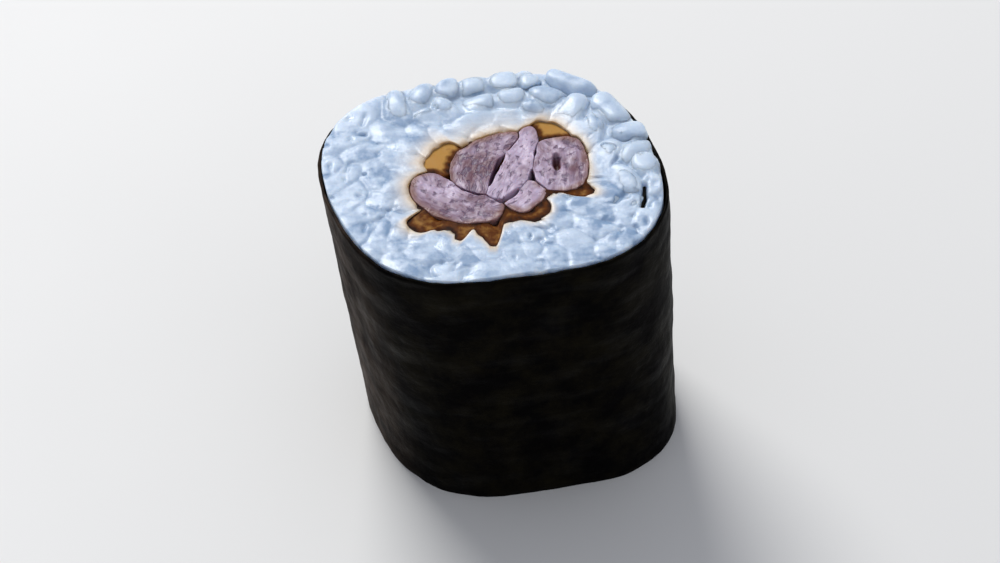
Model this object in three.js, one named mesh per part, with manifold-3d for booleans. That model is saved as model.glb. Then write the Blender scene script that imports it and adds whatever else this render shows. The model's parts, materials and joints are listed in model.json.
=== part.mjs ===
// One piece of shiitake hosomaki, standing on its lower cut.
//
// A roll of sushi rice round simmered shiitake, wrapped in one sheet of nori and cut across, so that both ends show
// the same section: the dark sheet, the ring of grains and the slices of mushroom that run through it.
// Units are millimetres. +Z is up, along the roll. The origin is under the middle of the bounding box, on the base.
import * as THREE from "three";
import { mergeVertices } from "three/addons/utils/BufferGeometryUtils.js";
import Module from "manifold-3d";

const wasm = await Module();
wasm.setup();

// ---- Driving dimensions -------------------------------------------------------------------------------------------

const HEIGHT = 28; // from the base to the flats of the tallest cut grains
const NORI_HEIGHT = 27.8; // the sheet stops a little short of the tallest grains
const RICE_BODY_HEIGHT = 27.2; // the packed rice that the top grains stand out of

// The rice's outline at the upper cut: a circle, squashed along one line and squared towards four soft corners.
const MEAN_RADIUS = 14;
const SQUASH = { by: 1.07, towards: -3.5 };
const CORNERS = { by: 0.68, towards: -31.2 };

// The lower cut is a smaller copy of the upper one, and lies to one side of it.
const BASE_SHARE = 0.9;
const BASE_SHIFT = 1.9;

const NORI_THICKNESS = 0.25;
const NORI_CLEARANCE = 0.1; // between the sheet and the rice, or between two layers of the sheet
const CUT_CLEARANCE = 0.3; // where one piece is cut out of another

// The sheet goes once round and laps over its own start. Its first edge is tucked into the rice.
const SHEET_START = -12; // degrees
const SHEET_LAP = 60; // degrees past one full turn
const TUCK_DEPTH = 1.9;
const TUCK_RUN = { until: 8, meets: 40, settles: 64 }; // degrees
const SHEET_STEP = 5; // degrees between the points of its outline

// Each slice of mushroom is a bent strip: a spine in the plane of the cut, and the thickness at each of its points.
const SLICES = [
  {
    name: "shiitake_crescent",
    spine: [
      [-6.1, 0.4],
      [-5.5, -2.4],
      [-3.6, -4.7],
      [-1.1, -5.2],
      [1.4, -4.6],
    ],
    thickness: [2.2, 3.1, 3.0, 2.5, 1.0],
    height: 27.6,
  },
  {
    name: "shiitake_left",
    spine: [
      [-0.9, 5.5],
      [-1.5, 3.3],
      [-2.1, 0.6],
      [-2.5, -2.4],
    ],
    thickness: [3.9, 4.0, 3.2, 2.6],
    height: 27.7,
  },
  {
    name: "shiitake_middle",
    spine: [
      [3.0, 6.4],
      [2.35, 3.2],
      [1.2, 0.1],
      [0.1, -2.7],
    ],
    thickness: [2.1, 2.6, 2.6, 2.1],
    height: 27.9,
  },
  {
    name: "shiitake_right",
    spine: [
      [5.9, 4.7],
      [6.1, 2.6],
      [6.1, 0.4],
      [5.8, -1.8],
    ],
    thickness: [3.6, 4.2, 4.2, 3.0],
    height: 27.7,
  },
  {
    name: "shiitake_sliver",
    spine: [
      [3.0, -0.6],
      [3.1, -2.1],
      [2.5, -3.5],
    ],
    thickness: [1.1, 1.9, 1.5],
    height: 27.5,
  },
];
const SLICE_STEPS = 14; // along a spine
const SLICE_END_SQUARENESS = 5; // 2 would make a slice an oval
const SLICE_REACH = 0.985; // the share of that curve that is used, so that an end isn't a knife edge

// The hollow in the rice: an oval for the bundle, and a pocket at each place where simmering liquor has pooled.
const HOLLOW = { x: 0.6, y: 0.1, across: 13, deep: 9.4 };
const POCKETS = [
  { x: -6.5, y: -5.5, radius: 1.3 },
  { x: -3.0, y: -6.9, radius: 1.0 },
  { x: -0.1, y: -7.9, radius: 0.9 },
  { x: 3.3, y: -4.2, radius: 1.6 },
  { x: 7.9, y: -1.9, radius: 1.0 },
  { x: 4.9, y: 5.2, radius: 1.5 },
  { x: -4.6, y: 3.2, radius: 1.3 },
];
const POCKET_SIDES = 16;

// Grains of cooked rice that stand out of the upper cut.
const GRAIN = { length: 5.6, width: 2.9, depth: 2.5 };
const GRAIN_COUNT = 96;
const GRAIN_SIDES = 10;
const GRAIN_RINGS = 6;
const GRAIN_SINK = 0.4; // how far the middle of the lowest one lies in the packed rice
const GRAIN_STAGGER = 0.3; // how much higher the middle of another may be
const GRAIN_TILT = 0.45; // radians, either way
const OUTLINE_STEPS = 72;

const NORI_LOOK = { color: "#14160f", roughness: 0.45 };
const RICE_LOOK = { color: "#d5e0ec", roughness: 0.4 };
const MUSHROOM_LOOK = { color: "#a58e98", roughness: 0.4 };

// ---- Curves in the plane of the cut -------------------------------------------------------------------------------

const radians = THREE.MathUtils.degToRad;
const ease = (from, to, x) => THREE.MathUtils.smoothstep(x, from, to);

// A number from 0 to 1 that looks random and is the same in every run.
function uneven(seed) {
  const v = Math.sin(seed * 12.9898 + 4.1414) * 43758.5453;
  return v - Math.floor(v);
}

function riceRadius(degrees) {
  const squash = SQUASH.by * Math.cos(2 * radians(degrees - SQUASH.towards));
  const corners = CORNERS.by * Math.cos(4 * radians(degrees - CORNERS.towards));
  return MEAN_RADIUS + squash + corners;
}

function polar(degrees, radius) {
  return new THREE.Vector2(Math.cos(radians(degrees)), Math.sin(radians(degrees))).multiplyScalar(radius);
}

function riceOutline() {
  const turn = 360 / OUTLINE_STEPS;
  return Array.from({ length: OUTLINE_STEPS }, (_, i) => polar(i * turn, riceRadius(i * turn)));
}

// How far the middle of the sheet lies outside its usual place, at an angle counted on from the tucked edge.
function sheetOffset(degrees) {
  const under = -(NORI_THICKNESS + NORI_CLEARANCE);
  const lapEnd = SHEET_START + SHEET_LAP;
  if (degrees < lapEnd) {
    return -TUCK_DEPTH + (TUCK_DEPTH + under) * ease(TUCK_RUN.until, TUCK_RUN.meets, degrees);
  }
  if (degrees < 360) return under * (1 - ease(lapEnd, TUCK_RUN.settles, degrees));
  return (NORI_CLEARANCE / 2) * ease(360 + TUCK_RUN.until, 360 + TUCK_RUN.meets, degrees);
}

// The outline of a stretch of the sheet, thicker on each side by grow.
function sheetOutline(first, last, grow = 0) {
  const count = Math.round((last - first) / SHEET_STEP);
  const half = NORI_THICKNESS / 2 + grow;
  const outside = [];
  const inside = [];
  for (let i = 0; i <= count; i++) {
    const degrees = first + ((last - first) * i) / count;
    const middle = riceRadius(degrees) + NORI_CLEARANCE + NORI_THICKNESS / 2 + sheetOffset(degrees);
    outside.push(polar(degrees, middle + half));
    inside.push(polar(degrees, middle - half));
  }
  return [...outside, ...inside.reverse()];
}

// The outline of a slice, larger all round by grow.
function sliceOutline({ spine, thickness }, grow = 0) {
  const line = new THREE.SplineCurve(spine.map(([x, y]) => new THREE.Vector2(x, y)));
  const girth = new THREE.SplineCurve(thickness.map((t, i) => new THREE.Vector2(i, t)));
  const left = [];
  const right = [];
  for (let i = 0; i <= SLICE_STEPS; i++) {
    const share = i / SLICE_STEPS;
    const fromMiddle = 2 * share - 1;
    const tangent = line.getTangent(share);
    const side = new THREE.Vector2(-tangent.y, tangent.x);
    const rounding = Math.sqrt(1 - Math.abs(SLICE_REACH * fromMiddle) ** SLICE_END_SQUARENESS);
    const half = (girth.getPoint(share).y / 2) * rounding + grow;
    const centre = line.getPoint(share).addScaledVector(tangent, grow * fromMiddle);
    left.push(centre.clone().addScaledVector(side, half));
    right.push(centre.clone().addScaledVector(side, -half));
  }
  return [...left, ...right.reverse()];
}

function ovalOutline({ x, y, across, deep }) {
  return new THREE.EllipseCurve(x, y, across / 2, deep / 2).getPoints(OUTLINE_STEPS / 2).slice(1);
}

function roundOutline({ x, y, radius }) {
  return new THREE.EllipseCurve(x, y, radius, radius).getPoints(POCKET_SIDES).slice(1);
}

// ---- Solids -------------------------------------------------------------------------------------------------------

function solidFrom(geometry) {
  geometry.deleteAttribute("normal");
  geometry.deleteAttribute("uv");
  const merged = mergeVertices(geometry, 1e-4);
  return new wasm.Manifold(
    new wasm.Mesh({
      numProp: 3,
      vertProperties: merged.getAttribute("position").array,
      triVerts: new Uint32Array(merged.index.array),
    }),
  );
}

function column(outline, height, from = 0) {
  const geometry = new THREE.ExtrudeGeometry(new THREE.Shape(outline), {
    depth: height - from,
    bevelEnabled: false,
  });
  return solidFrom(geometry.translate(0, 0, from));
}

function grain(x, y, z, turn, tilt) {
  const geometry = new THREE.SphereGeometry(0.5, GRAIN_SIDES, GRAIN_RINGS);
  const placed = new THREE.Matrix4()
    .makeTranslation(x, y, z)
    .multiply(new THREE.Matrix4().makeRotationZ(turn))
    .multiply(new THREE.Matrix4().makeRotationY(tilt))
    .multiply(new THREE.Matrix4().makeScale(GRAIN.length, GRAIN.width, GRAIN.depth));
  return solidFrom(geometry.applyMatrix4(placed));
}

// Grains laid out on a sunflower spiral, out to the rice's edge, each turned and tilted its own way.
function topGrains() {
  const goldenAngle = 180 * (3 - Math.sqrt(5));
  const lowest = RICE_BODY_HEIGHT - GRAIN_SINK;
  const grains = [];
  for (let i = 0; i < GRAIN_COUNT; i++) {
    const degrees = i * goldenAngle;
    const place = polar(degrees, riceRadius(degrees) * Math.sqrt((i + 0.5) / GRAIN_COUNT));
    const turn = Math.PI * uneven(i + 0.3);
    const tilt = GRAIN_TILT * (2 * uneven(i + 0.6) - 1);
    grains.push(grain(place.x, place.y, lowest + GRAIN_STAGGER * uneven(i), turn, tilt));
  }
  return grains;
}

// A column that runs out past both cuts of the roll.
function through(outline) {
  return column(outline, HEIGHT + 1, -1);
}

function riceSolid() {
  const packed = column(riceOutline(), RICE_BODY_HEIGHT);
  const heaped = wasm.Manifold.union([packed, ...topGrains()]).intersect(column(riceOutline(), HEIGHT));
  const hollow = wasm.Manifold.union([
    through(ovalOutline(HOLLOW)),
    ...POCKETS.map((pocket) => through(roundOutline(pocket))),
    ...SLICES.map((slice) => through(sliceOutline(slice, CUT_CLEARANCE))),
    through(sheetOutline(SHEET_START - 2, TUCK_RUN.settles, CUT_CLEARANCE)),
  ]);
  // Crumbs cut loose at the edges are left out.
  return heaped
    .subtract(hollow)
    .decompose()
    .reduce((largest, piece) => (piece.volume() > largest.volume() ? piece : largest));
}

// ---- The roll -----------------------------------------------------------------------------------------------------

// Draws a straight column in towards its base, and over to one side.
function lean(geometry) {
  const position = geometry.getAttribute("position");
  for (let i = 0; i < position.count; i++) {
    const down = 1 - position.getZ(i) / HEIGHT;
    const share = 1 - (1 - BASE_SHARE) * down;
    position.setX(i, position.getX(i) * share + BASE_SHIFT * down);
    position.setY(i, position.getY(i) * share);
  }
  return geometry;
}

function mesh(name, solid, look) {
  const { vertProperties, triVerts } = solid.getMesh();
  const geometry = new THREE.BufferGeometry();
  geometry.setAttribute("position", new THREE.BufferAttribute(vertProperties, 3));
  geometry.setIndex(new THREE.BufferAttribute(triVerts, 1));
  lean(geometry).computeVertexNormals();
  const made = new THREE.Mesh(geometry, new THREE.MeshStandardMaterial({ ...look, metalness: 0 }));
  made.name = name;
  return made;
}

const roll = new THREE.Group();
const sheet = sheetOutline(SHEET_START, SHEET_START + 360 + SHEET_LAP);
roll.add(mesh("nori", column(sheet, NORI_HEIGHT), NORI_LOOK));
roll.add(mesh("rice", riceSolid(), RICE_LOOK));
for (const slice of SLICES) {
  roll.add(mesh(slice.name, column(sliceOutline(slice), slice.height), MUSHROOM_LOOK));
}

// Stands the roll with its bounding box centred over the origin.
const middle = new THREE.Box3().setFromObject(roll).getCenter(new THREE.Vector3());
roll.position.set(-middle.x, -middle.y, 0);

export default roll;
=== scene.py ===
"""One piece of shiitake hosomaki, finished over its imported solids.

The nori is a thin wrinkled sheet wound round the rice. The rice is separate grains where the knife tore it,
over a core of smeared starch. The mushroom slices lie in their simmering liquor. Shapes are worked out in
millimetres, in a straight roll along the Z axis. Then leaned() gives them the slant and taper of the solids,
in metres.
"""

import json
import math

import bmesh
import bpy
import numpy as np
from bpy.props import FloatProperty, FloatVectorProperty, IntProperty, PointerProperty
from mathutils import Matrix, Vector

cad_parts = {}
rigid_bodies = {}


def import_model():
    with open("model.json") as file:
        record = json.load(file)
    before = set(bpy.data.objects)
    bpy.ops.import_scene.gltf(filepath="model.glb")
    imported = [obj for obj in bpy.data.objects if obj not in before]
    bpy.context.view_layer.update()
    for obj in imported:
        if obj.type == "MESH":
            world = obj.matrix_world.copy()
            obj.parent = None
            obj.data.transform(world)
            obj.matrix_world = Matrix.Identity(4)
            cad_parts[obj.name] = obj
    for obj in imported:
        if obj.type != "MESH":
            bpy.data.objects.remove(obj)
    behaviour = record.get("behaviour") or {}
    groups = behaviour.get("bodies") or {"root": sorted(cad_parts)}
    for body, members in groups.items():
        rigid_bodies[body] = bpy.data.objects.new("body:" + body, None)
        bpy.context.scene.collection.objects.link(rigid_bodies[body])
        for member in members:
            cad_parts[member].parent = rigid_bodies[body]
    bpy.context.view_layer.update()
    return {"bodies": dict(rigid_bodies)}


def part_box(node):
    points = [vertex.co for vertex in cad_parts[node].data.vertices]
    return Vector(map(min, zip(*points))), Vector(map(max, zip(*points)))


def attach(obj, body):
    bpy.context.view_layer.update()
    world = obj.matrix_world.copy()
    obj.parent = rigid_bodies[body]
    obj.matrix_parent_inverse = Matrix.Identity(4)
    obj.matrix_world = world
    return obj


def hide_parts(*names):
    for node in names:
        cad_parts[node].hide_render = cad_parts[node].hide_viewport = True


bl_info = {
    "name": "Shiitake Hosomaki",
    "version": (1, 0, 0),
    "blender": (4, 5, 0),
    "location": "View3D > Sidebar > Hosomaki",
    "description": "Makes one piece of thin sushi roll: nori, rice grains, mushroom slices and liquor",
    "category": "Add Mesh",
}

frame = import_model()
BODY = next(iter(frame["bodies"]))

MM = 0.001

# ---- The roll, in millimetres and degrees, as the solids have it ---------------------------------

HEIGHT = 28.0
NORI_HEIGHT = 27.8
# The edge of the rice: a circle, squashed one way, with four soft corners.
MEAN_RADIUS = 14.0
SQUASH, SQUASH_TOWARDS = 1.07, -3.5
CORNERS, CORNERS_TOWARDS = 0.68, -31.2
BASE_SHARE = 0.9  # the size of the foot, as a share of the cut's
BASE_SHIFT = 1.9  # how far along X the foot lies from the cut
NORI_THICKNESS = 0.25
NORI_CLEARANCE = 0.1
SLICE_SQUARENESS = 8  # how squarely a slice's ends are cut
REACH_WINDOW = 1.5  # degrees over which the bundle's outline takes the widest reach
# The sheet starts tucked in, comes out to the edge of the rice, and laps over its own start.
SHEET_START = -12.0
SHEET_LAP = 60.0
TUCK_DEPTH = 1.9
TUCK_UNTIL, TUCK_MEETS, TUCK_SETTLES = 8.0, 40.0, 64.0

# The bundle of mushroom in the middle: an oval, and the pockets where liquor has pooled between the
# grains, each as x, y and radius.
BUNDLE = np.array((0.6, 0.1))
BUNDLE_OVAL = (5.7, 4.0)
POCKETS = (
    (-6.3, -5.5, 1.05), (-4.7, -5.4, 0.7), (-3.6, -5.6, 0.7), (-2.9, -6.4, 0.6), (-1.9, -5.7, 0.7),
    (-3.0, -7.5, 0.3), (-0.4, -6.6, 1.0), (-0.2, -7.7, 0.5), (-0.1, -8.5, 0.2), (0.5, -5.2, 0.8),
    (1.6, -4.6, 0.8), (3.4, -4.0, 1.5), (7.8, -2.0, 0.7), (8.5, -2.3, 0.3), (4.4, 5.7, 0.9),
    (5.1, 5.2, 1.2), (5.8, 4.6, 1.1), (-4.7, 1.9, 1.1), (-4.2, 2.7, 1.1), (-3.7, 3.4, 0.9),
)

# Each slice: its spine in the plane of the cut, its thickness along that, the side with the cap's skin (0 for
# none), how dark its flesh is at the spine's start and end, and how high its top is. The slices are pressed
# flat against each other, and their outlines lie up to about 2 mm off those of the solids.
SLICES = {
    "shiitake_crescent": {
        "spine": ((-6.0, 0.6), (-5.1, -1.5), (-3.1, -3.1), (-1.0, -3.8), (0.9, -3.8)),
        "thickness": (2.6, 4.2, 4.6, 3.8, 2.6),
        "skin_side": -1,
        "tone": (0.1, 1.0),
        "top": 27.95,
    },
    "shiitake_left": {
        "spine": ((2.7, 5.1), (0.5, 3.6), (-1.2, 1.5), (-1.7, -2.6)),
        "thickness": (1.5, 3.3, 4.7, 3.9),
        "skin_side": -1,
        "tone": (0.6, 1.1),
        "top": 27.95,
    },
    "shiitake_middle": {
        "spine": ((3.5, 6.0), (2.7, 3.3), (1.5, 0.6), (0.3, -3.1)),
        "thickness": (1.3, 2.9, 3.8, 3.6),
        "skin_side": 0,
        "tone": (-0.3, 0.1),
        "top": 28.0,
    },
    "shiitake_right": {
        "spine": ((5.7, 4.6), (5.9, 2.6), (6.0, 0.4), (5.9, -2.0)),
        "thickness": (4.0, 4.7, 4.8, 4.0),
        "skin_side": 1,
        "tone": (0.2, 0.4),
        "top": 27.95,
    },
    "shiitake_sliver": {
        "spine": ((4.0, -0.9), (3.0, -2.4), (1.6, -4.0)),
        "thickness": (2.2, 3.0, 2.5),
        "skin_side": 1,
        "tone": (0.3, 0.3),
        "top": 27.9,
    },
}


# ---- Small tools ---------------------------------------------------------------------------------


def linear(code):
    """An sRGB hex colour as linear red, green and blue."""
    shares = (int(code[i : i + 2], 16) / 255 for i in (1, 3, 5))
    return tuple(s / 12.92 if s <= 0.04045 else ((s + 0.055) / 1.055) ** 2.4 for s in shares)


def connect(tree, made, inputs):
    """Sets inputs of a node, each to a value, to a socket, or to a node's first output."""
    for name, value in inputs.items():
        if isinstance(value, bpy.types.Node):
            value = value.outputs[0]
        if isinstance(value, bpy.types.NodeSocket):
            tree.links.new(value, made.inputs[name])
        else:
            made.inputs[name].default_value = value


def node(tree, kind, inputs=None, **settings):
    """Adds a node with its settings and links."""
    made = tree.nodes.new(kind)
    for name, value in settings.items():
        setattr(made, name, value)
    connect(tree, made, inputs or {})
    return made


def new_material(name):
    """A new material, with its node tree and its shader."""
    material = bpy.data.materials.new(name)
    material.use_nodes = True
    tree = material.node_tree
    return material, tree, tree.nodes["Principled BSDF"]


def drawn_in(points, anchors, clashes):
    """Draws points that clash towards their anchors, just as far as it takes."""
    low, high = np.zeros(len(points)), np.ones(len(points))
    moving = clashes(points)
    for _ in range(7):
        tried = (low + high) / 2
        clash = clashes(anchors + (points - anchors) * tried[:, None])
        low, high = np.where(clash, low, tried), np.where(clash, tried, high)
    return anchors + (points - anchors) * np.where(moving, low, 1)[:, None]


def ease(low, high, x):
    """A smooth step from 0 at low to 1 at high."""
    t = np.clip((x - low) / (high - low), 0, 1)
    return t * t * (3 - 2 * t)


def unevenness(points, spacing, seed=0):
    """Smooth noise from -1 to 1 at points, with its bumps about spacing apart."""
    grid = np.asarray(points, float) / spacing + 17.31 * (seed + 1)
    cell = np.floor(grid).astype(np.int64)
    part = grid - cell
    part = part * part * (3 - 2 * part)
    total = np.zeros(len(grid))
    for corner in np.ndindex(2, 2, 2):
        key = (cell + corner) @ np.array((73856093, 19349663, 83492791))
        key = (key ^ (key >> 13)) * 1274126177
        value = ((key ^ (key >> 16)) & 0xFFFF) / 0x7FFF - 1
        total += value * np.prod(np.where(corner, part, 1 - part), axis=1)
    return total


def new_object(name, data):
    made = bpy.data.objects.new(name, data)
    bpy.context.scene.collection.objects.link(made)
    return made


def smooth(mesh):
    mesh.polygons.foreach_set("use_smooth", np.ones(len(mesh.polygons), bool))


def mesh_through(name, rings, ends="filled"):
    """A closed mesh through rings of points. Its end rings are joined together, or each is filled by strips
    between its points and those that mirror them."""
    rings = np.asarray(rings)
    count, size = rings.shape[:2]
    points = rings.reshape(-1, 3)
    last = count if ends == "joined" else count - 1
    low = np.arange(last)[:, None] * size + np.arange(size)
    side = np.arange(last)[:, None] * size + (np.arange(size) + 1) % size
    above = (low + size) % len(points)
    above_side = (side + size) % len(points)
    faces = np.stack((low, side, above_side, above), axis=-1).reshape(-1, 4).tolist()
    if ends == "filled":
        half = size // 2
        for start in (0, (count - 1) * size):
            stop = start + size
            faces += [(start, start + 1, stop - 1)]
            faces += [(start + i, start + i + 1, stop - i - 1, stop - i) for i in range(1, half - 1)]
            faces += [(start + half - 1, start + half, start + half + 1)]
    mesh = bpy.data.meshes.new(name)
    mesh.from_pydata(points, [], faces)
    work = bmesh.new()
    work.from_mesh(mesh)
    bmesh.ops.recalc_face_normals(work, faces=work.faces)
    work.to_mesh(mesh)
    work.free()
    smooth(mesh)
    return mesh


def points_of(mesh):
    flat = np.empty(len(mesh.vertices) * 3)
    mesh.vertices.foreach_get("co", flat)
    return flat.reshape(-1, 3)


def move_points(mesh, points):
    mesh.vertices.foreach_set("co", np.asarray(points, np.float32).ravel())
    mesh.update()


def paint(mesh, name, values):
    """Keeps a number or a vector at each point of a mesh, for its material or its nodes to read."""
    values = np.asarray(values, np.float32)
    kind, field = ("FLOAT", "value") if values.ndim == 1 else ("FLOAT_VECTOR", "vector")
    mesh.attributes.new(name, kind, "POINT").data.foreach_set(field, values.ravel())


def finished(piece, material, slot, *replaced):
    """Puts the material on a piece, attaches it to the body that it rides on, and hides the solids that it
    stands for.
    """
    piece.data.materials.clear()
    piece.data.materials.append(material)
    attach(piece, BODY)
    if replaced:
        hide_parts(*replaced)


# ---- Curves across the roll, in millimetres ------------------------------------------------------


def rice_radius(degrees):
    squash = SQUASH * np.cos(2 * np.radians(degrees - SQUASH_TOWARDS))
    corners = CORNERS * np.cos(4 * np.radians(degrees - CORNERS_TOWARDS))
    return MEAN_RADIUS + squash + corners


def sheet_offset(degrees):
    """How far the middle of the sheet lies outside its usual place, counted on from its tucked edge."""
    under = -(NORI_THICKNESS + NORI_CLEARANCE)
    lap_end = SHEET_START + SHEET_LAP
    tucked = -TUCK_DEPTH + (TUCK_DEPTH + under) * ease(TUCK_UNTIL, TUCK_MEETS, degrees)
    plain = under * (1 - ease(lap_end, TUCK_SETTLES, degrees))
    lapped = NORI_CLEARANCE / 2 * ease(360 + TUCK_UNTIL, 360 + TUCK_MEETS, degrees)
    return np.where(degrees < lap_end, tucked, np.where(degrees < 360, plain, lapped))


def sheet_radius(degrees):
    return rice_radius(degrees) + NORI_CLEARANCE + NORI_THICKNESS / 2 + sheet_offset(degrees)


def around(degrees, radius):
    turn = np.radians(degrees)
    return np.stack((radius * np.cos(turn), radius * np.sin(turn)), axis=-1)


def polar(points):
    """The bearings of points, in degrees, and how far away they are."""
    return np.degrees(np.arctan2(points[:, 1], points[:, 0])), np.hypot(points[:, 0], points[:, 1])


def through(knots, shares):
    """Points at shares from 0 to 1 along a smooth curve through evenly spaced knots."""
    knots = np.asarray(knots, float).reshape(len(knots), -1)
    knots = np.vstack((2 * knots[0] - knots[1], knots, 2 * knots[-1] - knots[-2]))
    place = np.clip(shares, 0, 1) * (len(knots) - 3)
    first = np.minimum(place.astype(int), len(knots) - 4)
    t = (place - first)[:, None]
    a, b, c, d = (knots[first + i] for i in range(4))
    return 0.5 * (2 * b + (c - a) * t + (2 * a - 5 * b + 4 * c - d) * t**2 + (3 * b - a - 3 * c + d) * t**3)


def across_slice(cut, along, aside):
    """Places in a slice's section: along its spine from -1 to 1, and aside from it in millimetres."""
    spine = cut["spine"]
    shares = (along + 1) / 2
    step = 0.01
    tangent = through(spine, np.minimum(shares + step, 1)) - through(spine, np.maximum(shares - step, 0))
    tangent /= np.linalg.norm(tangent, axis=1)[:, None]
    beside = np.stack((-tangent[:, 1], tangent[:, 0]), axis=-1)
    return through(spine, shares) + beside * aside[:, None]


def slice_edge(cut, count):
    """The edge of a slice's section, as places along its spine and distances aside from it."""
    turn = np.linspace(0, 2 * np.pi, count, endpoint=False)
    along = np.cos(turn)
    rounding = np.sqrt(np.maximum(1 - np.abs(along) ** SLICE_SQUARENESS, 0))
    half = through(cut["thickness"], (along + 1) / 2)[:, 0] / 2
    return along, np.where(np.sin(turn) >= 0, 1, -1) * half * rounding


def bundle_outline():
    """How far the bundle and its liquor reach from its middle, for each degree round it."""
    turn = np.radians(np.arange(0, 360))
    circle = np.stack((np.cos(turn), np.sin(turn)), axis=-1)
    shapes = [BUNDLE + circle * BUNDLE_OVAL]
    shapes += [np.array((x, y)) + circle * radius for x, y, radius in POCKETS]
    shapes += [across_slice(cut, *slice_edge(cut, 600)) for cut in SLICES.values()]
    bearing, reach = polar(np.vstack(shapes) - BUNDLE)
    turned = np.abs((bearing % 360 - np.arange(360)[:, None] + 180) % 360 - 180)
    widest = np.where(turned < REACH_WINDOW, reach, 0).max(axis=1)
    return (np.roll(widest, 1) + 2 * widest + np.roll(widest, -1)) / 4


def bundle_radius(bearing):
    """How far the bundle reaches from its middle, at any bearings."""
    return np.interp(bearing, np.arange(360), BUNDLE_OUTLINE, period=360)


def bundle_reach(points):
    """How far points lie outside the bundle, and the way out from its middle."""
    away = points[:, :2] - BUNDLE
    bearing, reach = polar(away)
    return reach - bundle_radius(bearing), away / reach[:, None]


def outer_reach(points):
    """How far points lie inside the edge of the rice, how far from the roll's axis, and their bearings."""
    degrees, reach = polar(points)
    return rice_radius(degrees) - reach, reach, degrees


BUNDLE_OUTLINE = bundle_outline()


def roll_middle():
    """Where the straight roll's axis lies, from the middles of the leaning sheet's box and its solid's."""
    degrees = np.arange(SHEET_START, SHEET_START + 360 + SHEET_LAP)
    edge = around(degrees, sheet_radius(degrees) + NORI_THICKNESS / 2)
    ends = np.vstack((edge, edge * BASE_SHARE + (BASE_SHIFT, 0)))
    low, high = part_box("nori")
    return (np.array(low)[:2] + np.array(high)[:2]) / 2 / MM - (ends.min(0) + ends.max(0)) / 2


ROLL_MIDDLE = roll_middle()


def leaned(points):
    """Gives points of the straight roll, in millimetres, their places in the leaning one, in metres."""
    points = np.asarray(points, float)
    down = 1 - points[..., 2] / HEIGHT
    share = 1 - (1 - BASE_SHARE) * down
    x = points[..., 0] * share + BASE_SHIFT * down + ROLL_MIDDLE[0]
    y = points[..., 1] * share + ROLL_MIDDLE[1]
    return np.stack((x, y, points[..., 2]), axis=-1) * MM


# ---- Settings ------------------------------------------------------------------------------------


def length(name, description, default):
    """A size in the panel, from its default in millimetres."""
    return FloatProperty(
        name=name, description=description, default=default * MM, min=0, unit="LENGTH", precision=5
    )


def angle(name, description, default):
    """An angle in the panel, from its default in degrees."""
    return FloatProperty(
        name=name, description=description, default=math.radians(default), subtype="ANGLE"
    )


def watts(name, description, default):
    return FloatProperty(name=name, description=description, default=default, subtype="POWER")


def colour(name, description, default):
    """A colour in the panel, from its sRGB hex code."""
    return FloatVectorProperty(
        name=name, description=description, subtype="COLOR", size=3, default=linear(default)
    )


class NoriSettings(bpy.types.PropertyGroup):
    wrinkle_depth: length("Wrinkle Depth", "How far the sheet follows the grains under it", 0.16)
    wrinkle_spacing: length("Wrinkle Spacing", "From one swell to the next", 4.2)
    crease_depth: length("Crease Depth", "Depth of the fine creases that run with the roll", 0.05)
    edge_wander: length("Edge Wander", "How unevenly the knife left the upper edge", 0.12)
    dark: colour("Dark", "The sheet's darkest patches", "#050404")
    # Brown is a painted warm reflection, laid in mottles down one side of the sheet.
    brown: colour("Brown", "Where it was toasted longest", "#42342b")
    olive: colour("Olive", "Thin places that let some light through", "#18150c")


class RiceSettings(bpy.types.PropertyGroup):
    grain_length: length("Grain Length", "Of a cooked grain, before it is pressed", 4.3)
    grain_width: length("Grain Width", "Across its broad side", 2.65)
    grain_depth: length("Grain Depth", "Across its narrow side", 2.35)
    grains_per_end: IntProperty(name="Grains per End", description="Packed at each cut", default=142, min=20)
    plumpness: FloatProperty(
        name="Plumpness", description="Swelling into the gaps", default=1.25, min=1, max=1.5
    )
    seed: IntProperty(name="Seed", description="Another packing of the grains", default=11)
    white: colour("White", "The grains, cool and moist", "#cedded")
    # Shade: glassier grains, and also the painted shade along seams, in gaps and pits and over the smeared
    # part; torn grains take less of it low on their sides, a painted highlight rim.
    shade: colour("Shade", "Glassier grains", "#8aa4c2")
    stained: colour("Stained", "Grains that have taken up liquor", "#e0d4c6")
    soaked: colour("Soaked", "Where the liquor has run in between the grains", "#ad8653")


class MushroomSettings(bpy.types.PropertyGroup):
    flesh: colour("Flesh", "Simmered flesh at the cut", "#c0acc3")
    flesh_dark: colour("Dark Flesh", "Where the flesh is dense and has taken up soy", "#704b58")
    pores: colour("Pores", "Dark specks in the flesh", "#5d4660")
    flesh_rim: colour("Rim", "The soaked edge of the flesh", "#84626b")
    skin: colour("Skin", "The cap's brown skin", "#855c42")
    # Painted shade inside the pit of the right slice.
    painted_pit_shade: colour("Hollow", "Inside pits and slits", "#5c2c28")


class LiquorSettings(bpy.types.PropertyGroup):
    depth: length("Depth", "Of its surface under the cut", 0.2)
    amber: colour("Amber", "Where it is a thin film", "#b98a48")
    brown: colour("Brown", "Where it has pooled", "#60330f")
    dark: colour("Dark", "Where it is deepest", "#2a1206")


class StageSettings(bpy.types.PropertyGroup):
    elevation: angle("Elevation", "Of the camera", 45)
    tilt: angle("Tilt", "How much level lines rise", 2.05)
    distance: length("Distance", "From the camera to the cut", 750)
    view_width: length("View Width", "What the frame takes in, at the cut", 87)
    drop: length("Drop", "How far under the cut's middle the camera aims", 9.2)
    aside: length("Aside", "How far to the right of it the camera aims", 0.7)
    floor: colour("Floor", "A plain pale floor", "#e9e8e4")
    key: watts("Key", "Power of the window light behind", 4.0)
    fill: watts("Fill", "Power of the soft light in front", 0.2)
    sky: FloatProperty(name="Sky", description="Strength of the light from all round", default=0.46, min=0)
    sky_colour: colour("Sky Colour", "Of the light from all round", "#eef2ff")


# ---- Nori ----------------------------------------------------------------------------------------

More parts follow.
